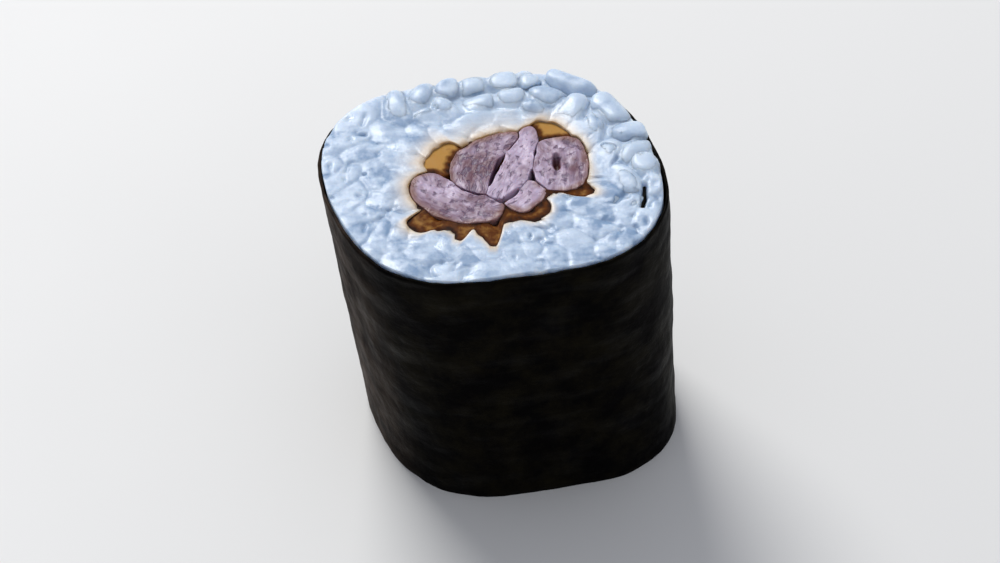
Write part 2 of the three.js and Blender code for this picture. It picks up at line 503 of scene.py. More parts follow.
SHOWN_TUCK = 7.0  # degrees that the tucked edge runs on past the solid's, where it shows at the cut
TUCK_SUNK = 1.3  # how far the rest of the tucked edge is sunk under the grains
SUNK_FROM, SUNK_TO = (2.7, 3.6), (12.7, 15.7)  # where along the sheet it goes down, and comes up again
BACK_DROP = 0.55  # how much lower the upper edge is at the back and left
EDGE_BAND = 5  # how far down the sheet both of these are felt
SHEET_FOOT = 0.03  # above the floor
# Where the painted warm reflection lies on the sheet.
WARM_REFLECTION_AT = 51.0  # along the sheet from its tucked edge


def tree_named(name, inputs):
    """A new Geometry Nodes tree, and the sockets that its named inputs come in by."""
    tree = bpy.data.node_groups.new(name, "GeometryNodeTree")
    for label, kind, default in (("Geometry", "Geometry", None), *inputs, ("Material", "Material", None)):
        socket = tree.interface.new_socket(name=label, in_out="INPUT", socket_type="NodeSocket" + kind)
        if default is not None:
            socket.default_value = default
    tree.interface.new_socket(name="Geometry", in_out="OUTPUT", socket_type="NodeSocketGeometry")
    return tree, node(tree, "NodeGroupInput").outputs


def end_tree(tree, shape, material):
    realized = node(tree, "GeometryNodeRealizeInstances", {"Geometry": shape})
    faced = node(tree, "GeometryNodeSetMaterial", {"Geometry": realized, "Material": material})
    node(tree, "NodeGroupOutput", {"Geometry": faced})
    return tree


def made_by(tree, name, start, values):
    """The piece that a tree makes of a starting mesh, as a plain mesh."""
    piece = new_object(name, start)
    way = piece.modifiers.new(tree.name, "NODES")
    way.node_group = tree
    for item in tree.interface.items_tree:
        if item.item_type == "SOCKET" and item.in_out == "INPUT" and item.name in values:
            way[item.identifier] = values[item.name]
    graph = bpy.context.evaluated_depsgraph_get()
    shaped = piece.evaluated_get(graph)
    mesh = bpy.data.meshes.new_from_object(shaped, preserve_all_data_layers=True, depsgraph=graph)
    piece.modifiers.clear()
    piece.data = mesh
    mesh.name = name
    return piece


def sheet_tree():
    """Nodes that stand a sheet up along its midline and wrinkle it over the grains."""
    tree, given = tree_named(
        "Wound Sheet",
        (
            ("Columns", "Int", 460),
            ("Rows", "Int", 64),
            ("Sheet Height", "Float", NORI_HEIGHT * MM),
            ("Wrinkle Depth", "Float", 0.0),
            ("Wrinkle Scale", "Float", 1.0),
            ("Crease Depth", "Float", 0.0),
            ("Edge Wander", "Float", 0.0),
            ("Seed", "Float", 3.0),
        ),
    )
    counts = {"Vertices X": given["Columns"], "Vertices Y": given["Rows"]}
    grid = node(tree, "GeometryNodeMeshGrid", {"Size X": 1.0, "Size Y": 1.0, **counts})
    share = node(tree, "ShaderNodeSeparateXYZ", {0: grid.outputs["UV Map"]}).outputs
    midline = node(tree, "GeometryNodeMeshToCurve", {"Mesh": given["Geometry"]})
    on_midline = {"Curves": midline, "Factor": share["X"]}
    foot = node(tree, "GeometryNodeSampleCurve", on_midline, mode="FACTOR", use_all_curves=True).outputs
    side = node(tree, "ShaderNodeVectorMath", {0: foot["Tangent"], 1: (0, 0, 1)}, operation="CROSS_PRODUCT")
    outward = node(tree, "ShaderNodeVectorMath", {0: side}, operation="NORMALIZE")
    rise = node(tree, "ShaderNodeMath", {0: share["Y"], 1: given["Sheet Height"]}, operation="MULTIPLY")
    up = node(tree, "ShaderNodeCombineXYZ", {"Z": rise})
    stood = node(tree, "ShaderNodeVectorMath", {0: foot["Position"], 1: up}, operation="ADD")

    # Three kinds of noise: swells that follow the grains under the sheet, creases that run with the roll, so
    # that theirs is drawn out along Z, and the unevenness that the knife leaves.
    drawn_out = node(tree, "ShaderNodeVectorMath", {0: stood, 1: (3.1, 3.1, 0.5)}, operation="MULTIPLY")
    wide = given["Wrinkle Scale"]
    kinds = (
        (stood, wide, {"Detail": 2.5, "Roughness": 0.55}, "FBM", "Wrinkle Depth", 0.25, 0.75),
        (drawn_out, wide, {"Detail": 2.0}, "RIDGED_MULTIFRACTAL", "Crease Depth", 0.6, 1.6),
        (foot["Position"], 420.0, {"Detail": 2.0}, "FBM", "Edge Wander", 0.3, 0.7),
    )
    depths = []
    for vector, scale, finer, noise, depth, least, most in kinds:
        inputs = {"Vector": vector, "W": given["Seed"], "Scale": scale, **finer}
        bumps = node(tree, "ShaderNodeTexNoise", inputs, noise_dimensions="4D", noise_type=noise)
        lowest = 0.0
        if noise == "FBM":
            lowest = node(tree, "ShaderNodeMath", {0: given[depth], 1: -1.0}, operation="MULTIPLY")
        reach = {"From Min": least, "From Max": most, "To Min": lowest, "To Max": given[depth]}
        depths.append(node(tree, "ShaderNodeMapRange", {"Value": bumps, **reach}))
    swell, crease, wander = depths
    relief = node(tree, "ShaderNodeMath", {0: swell, 1: crease}, operation="ADD")
    pushed = node(tree, "ShaderNodeVectorMath", {0: outward, "Scale": relief}, operation="SCALE")

    # The knife moves the upper edge, and the rows under it less and less.
    near_edge = node(tree, "ShaderNodeMath", {0: share["Y"], 1: 12.0}, operation="POWER")
    edge = node(tree, "ShaderNodeMath", {0: wander, 1: near_edge}, operation="MULTIPLY")
    upward = node(tree, "ShaderNodeCombineXYZ", {"Z": edge})
    moved = node(tree, "ShaderNodeVectorMath", {0: pushed, 1: upward}, operation="ADD")
    wrinkled = node(tree, "ShaderNodeVectorMath", {0: stood, 1: moved}, operation="ADD")
    placed = node(tree, "GeometryNodeSetPosition", {"Geometry": grid, "Position": wrinkled})
    run = node(tree, "GeometryNodeCurveLength", {"Curve": midline})
    from_start = node(tree, "ShaderNodeMath", {0: share["X"], 1: run}, operation="MULTIPLY")
    on_sheet = node(tree, "ShaderNodeCombineXYZ", {"X": from_start, "Y": rise})
    named = {"Geometry": placed, "Name": "on_sheet", "Value": on_sheet}
    kept = node(tree, "GeometryNodeStoreNamedAttribute", named, data_type="FLOAT_VECTOR", domain="POINT")
    return end_tree(tree, kept, given["Material"])


def toasted_laver(look):
    """Toasted laver, pressed and dried like paper. Near black with an olive cast in its thin places, a
    painted warm reflection in brown mottles down one side, a satin face with a felt of fine fibres, and a few
    glossier streaks."""
    material, tree, shader = new_material("toasted_laver")
    place = node(tree, "ShaderNodeAttribute", attribute_name="on_sheet").outputs["Vector"]
    # Blotches of thick and thin laver, about 4 mm across.
    blotchy = {"Vector": place, "Scale": 250.0, "Detail": 5.0, "Roughness": 0.65}
    blotch = node(tree, "ShaderNodeTexNoise", blotchy)
    # Fibres about 0.3 mm wide, drawn out along the sheet.
    drawn = node(tree, "ShaderNodeMapping", {"Vector": place, "Scale": (1.0, 2.6, 1.0)})
    fibrous = {"Vector": drawn, "Scale": 1500.0, "Detail": 4.0, "Distortion": 1.2}
    fibre = node(tree, "ShaderNodeTexNoise", fibrous)
    thin = node(tree, "ShaderNodeMapRange", {"Value": blotch, "From Min": 0.42, "From Max": 0.72})
    # A painted warm reflection down one side of the sheet, in mottles that fade out to both sides.
    along = node(tree, "ShaderNodeSeparateXYZ", {0: place})
    from_side = node(tree, "ShaderNodeMath", {0: along, 1: WARM_REFLECTION_AT * MM}, operation="SUBTRACT")
    off_side = node(tree, "ShaderNodeMath", {0: from_side}, operation="ABSOLUTE")
    fading = {"From Min": 0.001, "From Max": 0.01, "To Min": 1.0, "To Max": 0.0}
    side = node(tree, "ShaderNodeMapRange", {"Value": off_side, **fading})
    mottle = node(tree, "ShaderNodeMapRange", {"Value": blotch, "From Min": 0.3, "From Max": 0.6})
    painted_reflection = node(tree, "ShaderNodeMath", {0: side, 1: mottle}, operation="MULTIPLY")
    shown = (*look.dark, 1)
    for share, tint in ((thin, look.olive), (painted_reflection, look.brown)):
        layer = {0: share, 6: shown, 7: (*tint, 1)}
        shown = node(tree, "ShaderNodeMix", layer, data_type="RGBA").outputs[2]
    speckle = node(tree, "ShaderNodeMapRange", {"Value": fibre, "To Min": 0.55, "To Max": 1.35})
    speckled = node(tree, "ShaderNodeVectorMath", {0: shown, "Scale": speckle}, operation="SCALE")
    satin = {"From Min": 0.3, "From Max": 0.7, "To Min": 0.62, "To Max": 0.4}
    gloss = node(tree, "ShaderNodeMapRange", {"Value": blotch, **satin})
    # Glossier streaks where the sheet was pressed flat, along its run.
    drawn_long = node(tree, "ShaderNodeMapping", {"Vector": place, "Scale": (0.5, 1.6, 1.0)})
    streak = node(tree, "ShaderNodeTexNoise", {"Vector": drawn_long, "Scale": 380.0, "Detail": 3.0})
    faint = {"From Min": 0.5, "From Max": 0.8, "To Min": 0.02, "To Max": 0.08}
    sheen = node(tree, "ShaderNodeMapRange", {"Value": streak, **faint})
    felt = node(tree, "ShaderNodeBump", {"Height": fibre, "Strength": 0.5, "Distance": 0.00006})
    puckered = {"Height": blotch, "Strength": 0.6, "Distance": 0.0003, "Normal": felt}
    puckers = node(tree, "ShaderNodeBump", puckered)
    sockets = {"Base Color": speckled, "Roughness": gloss, "IOR": 1.42, "Specular IOR Level": sheen}
    connect(tree, shader, {**sockets, "Normal": puckers})
    return material


def sheet_midline():
    degrees = np.arange(SHEET_START - SHOWN_TUCK, SHEET_START + 360 + SHEET_LAP + 1, 1.5)
    places = around(degrees, sheet_radius(degrees)) * MM
    mesh = bpy.data.meshes.new("nori_midline")
    links = [(i, i + 1) for i in range(len(places) - 1)]
    mesh.from_pydata(np.column_stack((places, np.zeros(len(places)))), links, [])
    return mesh


def lowered(mesh):
    """The straight sheet's points in millimetres, with its tucked edge sunk under the grains but for the very
    end, and its upper edge a little lower at the back and left, where the grains stand over it."""
    points = points_of(mesh) / MM
    run = np.empty(len(points) * 3)
    mesh.attributes["on_sheet"].data.foreach_get("vector", run)
    run = run[::3] / MM
    sunk = TUCK_SUNK * ease(*SUNK_FROM, run) * (1 - ease(*SUNK_TO, run))
    back = ease(-4, 8, points[:, 1] - 0.4 * points[:, 0])
    points[:, 2] -= (sunk + BACK_DROP * back) * ease(NORI_HEIGHT - EDGE_BAND, NORI_HEIGHT, points[:, 2])
    points[:, 2] = np.maximum(points[:, 2], SHEET_FOOT)
    return points


# ---- Rice ----------------------------------------------------------------------------------------

PACKED_UNDER = 3.4  # how deep the ends of grains lie under the cut, at most
UNDER_KNIFE = 0.7  # how far under the knife a grain's ends come to lie, as a share of its half thickness
LAST_SEEN = 2.2  # a grain that lies deeper than this under the cut is hidden
TORN_RISE = 0.6  # how far torn grains may stand above the cut
OVERHANG = 0.35  # how far they bulge over the edge of the sheet
SOFTENINGS = 2
CUT_BULGE = 0.16  # how far a cut face rises in its middle
CUT_STEP = 0.04  # from one cut grain's face to the next
SETTLE_STEPS = 260
SIZE_SPREAD = 0.11  # how much grains differ in size, as a share of it
PACKED_WITHIN = 13  # how far from the axis grains lie before they settle, at most
TOUCHING = 0.9  # how near two grains settle, as a share of their thickness
PUSH = 0.45  # the share of an overlap that one step takes away from each grain
SHEET_ROOM, BUNDLE_ROOM = 0.85, 0.8  # how near those a grain settles, as a share of its half thickness
KNIFE_ROUND = 0.05  # the edge that the knife left on a grain, as a radius
GRAIN_GAP = 0.02  # between pressed grains, as a share of a grain's half width
TORN_LEAST = 0.04  # grains are shown where the cut is torn at least so much
TUCK_ROOM = 1.2  # how far they stay from the tucked edge of the sheet
MM_PER_DEGREE = 0.23  # along that edge
CORE_STEP = 0.75  # degrees from one point to the next round the core
CORE_ROWS = (64, 36)  # rings of points on its upper and lower face
CORE_WALLS = (14, 10)  # and down its outer and inner wall
CORE_GAP, CORE_HOLE = 0.06, 0.08  # how far its walls lie inside the edge of the rice, and outside the bundle
CORE_FOOT = 0.02  # above the floor
WALL_TONE = 0.8  # how glassy its walls are
FILM_OVER = 0.03  # how far the smeared starch stands over the cut
FILM_TORN = 0.2  # how much deeper it lies where the rice was torn
SEAM_DEPTH, GAP_DEPTH = 0.08, 0.18  # how far it sinks along the seams of grains, and between them
DOME_HEIGHT = 0.05  # how far it rises over a grain
PITS_DEPTH = 0.2
TUCK_TRENCH = 0.6  # how far it is pushed down round the sheet's tucked edge


class Grains:
    """Grains of one end of the roll: their middles, axes and half sizes, in millimetres, and the way out."""

    def __init__(self, middle, axes, half, out):
        self.middle, self.axes, self.half, self.out = middle, axes, half, out

    def only(self, chosen):
        return Grains(self.middle[chosen], self.axes[chosen], self.half[chosen], self.out)

    def depth_in(self, grain, points):
        """How deep points lie in a grain: 0 at its middle, 1 on its skin."""
        return np.linalg.norm((points - self.middle[grain]) @ self.axes[grain] / self.half[grain], axis=1)

    def reach_to(self, way):
        """The point of each grain that lies furthest one way, from its middle."""
        local = np.einsum("gij,i->gj", self.axes, way)
        furthest = self.half**2 * local / np.linalg.norm(self.half * local, axis=1)[:, None]
        return np.einsum("gij,gj->gi", self.axes, furthest)


def free_room(points, radius):
    """Moves points that lie too deep, or too near to the sheet, bundle or knife, back into the ring."""
    moved = points.copy()
    inside, reach, _ = outer_reach(moved)
    over = np.maximum(0, SHEET_ROOM * radius - inside)
    moved[:, :2] -= moved[:, :2] / reach[:, None] * over[:, None]
    outside, way = bundle_reach(moved)
    moved[:, :2] += way * np.maximum(0, BUNDLE_ROOM * radius - outside)[:, None]
    moved[:, 2] = np.clip(moved[:, 2], UNDER_KNIFE * radius, PACKED_UNDER)
    return moved


def settle(look, draw):
    """Grains settled against each other near a cut: their middles, the way they point, and their sizes. Z is
    how deep they lie under it."""
    count = look.grains_per_end
    spread = 1 + SIZE_SPREAD * draw.standard_normal((count, 3)).clip(-1.8, 1.8)
    size = spread * np.array((look.grain_width, look.grain_depth, look.grain_length)) / MM
    bearing = draw.uniform(0, 360, count)
    from_axis = PACKED_WITHIN * np.sqrt(draw.uniform(0.12, 1, count))
    middle = np.column_stack((around(bearing, from_axis), draw.uniform(0.5, PACKED_UNDER, count)))
    aim = draw.standard_normal((count, 3)) * (1, 1, 0.45)
    aim /= np.linalg.norm(aim, axis=1)[:, None]
    radius = (size[:, 0] + size[:, 1]) / 4
    half = size[:, 2] / 2 - radius
    one, two = np.triu_indices(count, 1)
    for _ in range(SETTLE_STEPS):
        between = middle[one] - middle[two]
        level = (aim[one] * aim[two]).sum(1)
        from_one = (aim[one] * between).sum(1)
        from_two = (aim[two] * between).sum(1)
        on_one = np.clip((level * from_two - from_one) / (1 - level**2 + 1e-4), -half[one], half[one])
        on_two = np.clip(level * on_one + from_two, -half[two], half[two])
        on_one = np.clip(level * on_two - from_one, -half[one], half[one])
        gap = between + aim[one] * on_one[:, None] - aim[two] * on_two[:, None]
        distance = np.linalg.norm(gap, axis=1) + 1e-6
        overlap = np.maximum(0, TOUCHING * (radius[one] + radius[two]) - distance)
        push = gap * (PUSH * overlap / distance)[:, None]
        ends = np.stack((middle - aim * half[:, None], middle + aim * half[:, None]))
        shift = np.zeros_like(ends)
        for grains, place, way in ((one, on_one, 1), (two, on_two, -1)):
            lean = (place / half[grains] + 1)[:, None] / 2
            np.add.at(shift[1], grains, way * push * lean)
            np.add.at(shift[0], grains, way * push * (1 - lean))
        ends = np.stack([free_room(end, radius) for end in ends + shift])
        middle = free_room(ends.mean(0), radius)
        aim = ends[1] - ends[0]
        aim /= np.linalg.norm(aim, axis=1)[:, None]
    return middle, aim, size


def own_axes(aim, flat, spin):
    """Each grain's axes, as columns: across its broad side, across its narrow side and along it."""
    broad = np.cross(flat, aim)
    broad /= np.linalg.norm(broad, axis=1)[:, None]
    narrow = np.cross(aim, broad)
    cos, sin = np.cos(spin)[:, None], np.sin(spin)[:, None]
    return np.stack((broad * cos + narrow * sin, narrow * cos - broad * sin, aim), axis=2)


def grains_at(end, look, seed):
    """The grains of the upper cut (end 1) or the lower one (end -1)."""
    draw = np.random.default_rng(seed)
    middle, aim, size = settle(look, draw)
    flat = np.where(np.abs(aim[:, 2:]) < 0.9, (0.0, 0.0, 1.0), (1.0, 0.0, 0.0))
    middle[:, 2] = HEIGHT - middle[:, 2] if end > 0 else middle[:, 2]
    aim[:, 2] *= -end
    axes = own_axes(aim, flat, draw.uniform(0, 2 * np.pi, len(aim)))
    grains = Grains(middle, axes, size / 2 * look.plumpness, np.array((0.0, 0.0, float(end))))
    top = end * (middle[:, 2] + grains.reach_to(grains.out)[:, 2]) - max(end * HEIGHT, 0)
    return grains.only(top > -LAST_SEEN), draw


def torn(points, end):
    """Where the knife tore the grains apart rather than smearing them: at the back and right, near the sheet.
    The lower cut is torn in patches."""
    level = points * (1, 1, 0)
    if end < 0:
        return 0.8 * ease(-0.1, 0.4, unevenness(level, 6.0, 3))
    back = 0.9 * points[:, 1] + 0.5 * points[:, 0] + 2 * unevenness(level, 5.0, 3)
    inside = outer_reach(points)[0] + 0.8 * unevenness(level, 3.0, 5)
    return ease(-1, 7, back) * (1 - ease(2.5, 6.0, inside))


def from_tuck(points):
    """How far points lie from the end of the sheet that is tucked in and shows at the cut."""
    _, reach, degrees = outer_reach(points)
    past = np.maximum(0, np.abs(degrees - SHEET_START + 1.5) * MM_PER_DEGREE - 1.2)
    return np.hypot(reach - sheet_radius(degrees), past)


def cut_height(points, end):
    """The upper cut is level in front and passes over the torn grains at the back. The lower one is flat."""
    fine = unevenness(points * (1, 1, 0), 1.7, 4)
    if end < 0:
        return 0.1 + 0.03 * fine
    return HEIGHT - 0.05 + 0.04 * fine + TORN_RISE * torn(points, end)


def pressed(points, shown, grains):
    """Flattens the grains that show against all others. A point in another grain is drawn in to midway."""
    reach = grains.half.max(axis=1)
    for grain, own in enumerate(points):
        way = shown.axes[grain][:, 2]
        limit = 0.62 * shown.half[grain, 2]
        on_axis = np.clip((own - shown.middle[grain]) @ way, -limit, limit)
        spine = shown.middle[grain] + on_axis[:, None] * way
        away = np.linalg.norm(grains.middle - shown.middle[grain], axis=1)
        for other in np.flatnonzero((away > 0) & (away < reach + shown.half[grain].max())):
            own = drawn_in(
                own, spine, lambda p: grains.depth_in(other, p) < shown.depth_in(grain, p) + GRAIN_GAP
            )
        points[grain] = own
    return points


def held_in(points):
    """Keeps grains inside the sheet and out of the bundle. The torn ones bulge over the sheet's edge."""
    flat = points.reshape(-1, 3)
    inside, reach, _ = outer_reach(flat)
    over_edge = ease(NORI_HEIGHT - 0.4, NORI_HEIGHT + 0.2, flat[:, 2]) * OVERHANG * torn(flat, 1)
    kept = np.minimum(reach, reach + inside - 0.02 + over_edge)
    flat[:, :2] *= (kept / reach)[:, None]
    outside, way = bundle_reach(flat)
    close = 0.12 * unevenness(flat, 1.1, 6)
    flat[:, :2] += way * np.maximum(0, close - outside)[:, None]
    return flat.reshape(points.shape)


def sliced(points, grains, draw):
    """Cuts the grains off where the knife went. What lies past it is drawn in to the face that it left."""
    end = grains.out[2]
    deepest = grains.reach_to(-grains.out)
    for grain, own in enumerate(points):
        knife = cut_height(own, end) + end * draw.uniform(-CUT_STEP, CUT_STEP)
        over = end * (own[:, 2] - knife)
        if over.max() > 0:
            above = end * (grains.middle[grain, 2] - knife.mean())
            share = np.clip((above + 0.35) / -(end * deepest[grain, 2]), 0, 0.92)
            anchor = grains.middle[grain] + deepest[grain] * share
            past = over > 0
            kept = (knife - anchor[2]) / np.where(past, own[:, 2] - anchor[2], 1)
            own[past] = anchor + (own[past] - anchor) * np.clip(kept[past], 0.02, 1)[:, None]
            bulge = grains.depth_in(grain, own[past]) ** 2
            own[past, 2] -= end * CUT_BULGE * (bulge - bulge.min())
        under = end * (knife - own[:, 2])
        own[:, 2] = knife - end * KNIFE_ROUND * np.logaddexp(0, under / KNIFE_ROUND)
    return points


def softened(points, mesh):
    """Rounds every edge of the grains a little, by drawing each point in towards its neighbours."""
    count = points.shape[1]
    edges = np.array([edge.vertices[:] for edge in mesh.edges if max(edge.vertices) < count])
    near = np.zeros((count, count))
    near[edges[:, 0], edges[:, 1]] = near[edges[:, 1], edges[:, 0]] = 1
    mean = near / near.sum(axis=1)[:, None]
    for _ in range(SOFTENINGS):
        points = 0.5 * points + 0.5 * np.einsum("pq,gqi->gpi", mean, points)
    return points


def starch_film(points, grains):
    """How deep the starchy core lies under the cut, and its tone there: how glassy it is, with painted shade
    along the seams, in the gaps and pits and over the smeared part. Where the rice was smeared it covers the
    grains and only sinks a little along their seams, with a few small pits. Where it was torn it drapes over
    the grains, a little under their tops."""
    end = grains.out[2]
    knife = cut_height(points, end)
    rough = torn(points, end)
    film = -FILM_OVER + FILM_TORN * rough + 0.06 * unevenness(points, 3.0, 7) * (1 + rough)
    deepest = film + 0.1 + 0.35 * rough
    drape = deepest.copy()
    warp = np.column_stack([unevenness(points, 1.3, 40 + axis) for axis in (0, 1)])
    on_cut = np.column_stack((points[:, :2] + 0.3 * warp, knife - 0.25 * end))
    near = np.full((len(points), 2), 9.0)
    nearest = np.zeros(len(points), int)
    for grain, (middle, axes, half) in enumerate(zip(grains.middle, grains.axes, grains.half)):
        form = axes @ np.diag(half**-2.0) @ axes.T
        away = points[:, :2] - middle[:2]
        b = away @ form[:2, 2]
        c = ((away @ form[:2, :2]) * away).sum(1) - 1
        seen = b * b - form[2, 2] * c
        rise = (-b + end * np.sqrt(np.maximum(seen, 0))) / form[2, 2]
        under = end * (knife - middle[2] - rise) + film
        drape = np.where(seen > 0, np.minimum(drape, under), drape)
        inside = grains.depth_in(grain, on_cut)
        nearest[inside < near[:, 0]] = grain
        near = np.sort(np.column_stack((near, inside)), axis=1)[:, :2]
    faint = 0.15 + 0.85 * ease(-0.3, 0.6, unevenness(points, 2.2, 31))
    seam = (1 - ease(0.0, 0.3, near[:, 1] - near[:, 0])) * faint
    gap = ease(0.95, 1.2, near[:, 0])
    dome = np.clip(1 - near[:, 0] ** 2, 0, 1)
    strokes = 0.03 * unevenness(points * (0.4, 1.6, 1), 0.7, 2) + 0.04 * unevenness(points, 1.1, 33)
    smeared = film + SEAM_DEPTH * seam + GAP_DEPTH * gap - DOME_HEIGHT * dome + strokes
    hole = unevenness(points + 0.5 * np.pad(warp, ((0, 0), (0, 1))), 0.7, 21)
    pits = PITS_DEPTH * ease(0.4, 0.8, hole) * ease(-0.1, 0.4, unevenness(points, 4.0, 22))
    depth = smeared + (np.clip(drape, film, deepest) - smeared) * rough + pits
    own_tone = np.random.default_rng(5).uniform(-0.2, 1.2, len(grains.middle))[nearest]
    # Tone: each grain's own glassiness, with painted shade along the seams, in the gaps and pits, and over
    # the whole smeared part.
    tone = own_tone + (0.9 - own_tone) * np.maximum(seam, gap) + 2.5 * pits + 0.6 * (1 - rough)
    if end > 0:
        depth += TUCK_TRENCH * (1 - ease(0.08, 0.38, from_tuck(points)))
    return depth, tone


def grain_tree():
    """Nodes that put one blunt, slightly bent grain at every point, turned and sized as the point says."""
    tree, given = tree_named(
        "Rice Grains",
        (
            ("Segments", "Int", 12),
            ("Rings", "Int", 9),
            ("Bluntness", "Float", 0.3),
            ("Bend", "Float", 0.16),
            ("Germ Notch", "Float", 0.3),
            ("Subdivisions", "Int", 1),
        ),
    )
    round_and_down = {"Segments": given["Segments"], "Rings": given["Rings"]}
    ball = node(tree, "GeometryNodeMeshUVSphere", {**round_and_down, "Radius": 1.0})
    spot = node(tree, "GeometryNodeInputPosition")
    part = node(tree, "ShaderNodeSeparateXYZ", {0: spot})
    squared = node(tree, "ShaderNodeMath", {0: part.outputs["Z"], 1: part.outputs["Z"]}, operation="MULTIPLY")
    swelling = {0: squared, 1: given["Bluntness"], 2: 1.0}
    widen = node(tree, "ShaderNodeMath", swelling, operation="MULTIPLY_ADD")
    wider = node(tree, "ShaderNodeCombineXYZ", {"X": widen, "Y": widen, "Z": 1.0})
    blunt = node(tree, "ShaderNodeVectorMath", {0: spot, 1: wider}, operation="MULTIPLY")
    notch = node(tree, "ShaderNodeMapRange", {"Value": part.outputs["Z"], "From Min": 0.4, "From Max": 0.87})
    cut_in = node(tree, "ShaderNodeMath", {0: notch, 1: given["Germ Notch"]}, operation="MULTIPLY")
    bend = node(tree, "ShaderNodeMath", {0: squared, 1: given["Bend"], 2: cut_in}, operation="MULTIPLY_ADD")
    aside = node(tree, "ShaderNodeCombineXYZ", {"X": bend})
    bent = node(tree, "ShaderNodeVectorMath", {0: blunt, 1: aside}, operation="ADD")
    shaped = node(tree, "GeometryNodeSetPosition", {"Geometry": ball, "Position": bent})
    fine = node(tree, "GeometryNodeSubdivisionSurface", {"Mesh": shaped, "Level": given["Subdivisions"]})
    turn, size = (
        node(tree, "GeometryNodeInputNamedAttribute", {"Name": name}, data_type="FLOAT_VECTOR")
        for name in ("turn", "size")
    )
    rotation = node(tree, "FunctionNodeEulerToRotation", {0: turn})
    inputs = {"Points": given["Geometry"], "Instance": fine, "Rotation": rotation, "Scale": size}
    return end_tree(tree, node(tree, "GeometryNodeInstanceOnPoints", inputs), given["Material"])


def grain_points(name, grains):
    """A mesh of one point for each grain, with its turn and size."""
    mesh = bpy.data.meshes.new(name)
    mesh.from_pydata(grains.middle * MM, [], [])
    paint(mesh, "turn", [tuple(Matrix(axes).to_euler("XYZ")) for axes in grains.axes.tolist()])
    paint(mesh, "size", grains.half * MM)
    return mesh


def cooked_rice(look):
    """Short-grain rice, steamed and seasoned. Cool white and a little glassy, so light goes into it and comes
    out soft, with a moist sheen, and cream to brown where it has taken up liquor."""
    material, tree, shader = new_material("steamed_sushi_rice")
    tone, soak = (
        node(tree, "ShaderNodeAttribute", attribute_name=name).outputs["Fac"] for name in ("tone", "soak")
    )
    place = node(tree, "ShaderNodeTexCoord").outputs["Object"]
    # Cloudy and glassy places inside a grain, about 1.2 mm across.
    cloud = node(tree, "ShaderNodeTexNoise", {"Vector": place, "Scale": 800.0, "Detail": 3.0})
    glassy = node(tree, "ShaderNodeMapRange", {"Value": cloud, "From Min": 0.35, "From Max": 0.75})
    # The tone scales it: glassier grains, painted shade along seams, in gaps and pits and over the smeared
    # part, and painted highlight rims low on torn grains.
    shaded = node(tree, "ShaderNodeMath", {0: glassy, 1: tone}, operation="MULTIPLY")
    patchy = node(tree, "ShaderNodeMath", {0: cloud, 1: 0.5, 2: 0.75}, operation="MULTIPLY_ADD")
    taken_up = node(tree, "ShaderNodeMath", {0: soak, 1: patchy}, operation="MULTIPLY")
    stain = node(tree, "ShaderNodeMapRange", {"Value": taken_up, "From Min": 0.12, "From Max": 0.6})
    deep = node(tree, "ShaderNodeMapRange", {"Value": taken_up, "From Min": 0.6, "From Max": 1.0})
    shown = (*look.white, 1)
    for share, tint in ((shaded, look.shade), (stain, look.stained), (deep, look.soaked)):
        layer = {0: share, 6: shown, 7: (*tint, 1)}
        shown = node(tree, "ShaderNodeMix", layer, data_type="RGBA").outputs[2]
    moist = {"From Min": 0.3, "From Max": 0.7, "To Min": 0.2, "To Max": 0.4}
    wet = node(tree, "ShaderNodeMapRange", {"Value": cloud, **moist})
    # Pores and starch on a grain's skin, about 0.25 mm apart.
    starch = node(tree, "ShaderNodeTexNoise", {"Vector": place, "Scale": 4000.0, "Detail": 2.0})
    skin = node(tree, "ShaderNodeBump", {"Height": starch, "Strength": 0.35, "Distance": 0.00005})
    sockets = {
        "Base Color": shown,
        "Roughness": wet,
        "IOR": 1.4,
        "Subsurface Weight": 0.85,
        "Subsurface Radius": (1.0, 0.85, 0.75),
        "Subsurface Scale": 1.1 * MM,
        "Normal": skin,
    }
    connect(tree, shader, sockets)
    return material


def soak_of(points):
    """How much liquor the rice has taken up: most next to the bundle, further in at the back and left."""
    outside, way = bundle_reach(points)
    spread = 0.55 + 0.85 * ease(-0.4, 0.9, 0.6 * way[:, 1] - 0.5 * way[:, 0])
    patch = 1 + 0.35 * unevenness(points, 1.6, 9)
    return np.clip(np.exp(-np.maximum(outside, 0) / (spread * patch)), 0, 1)


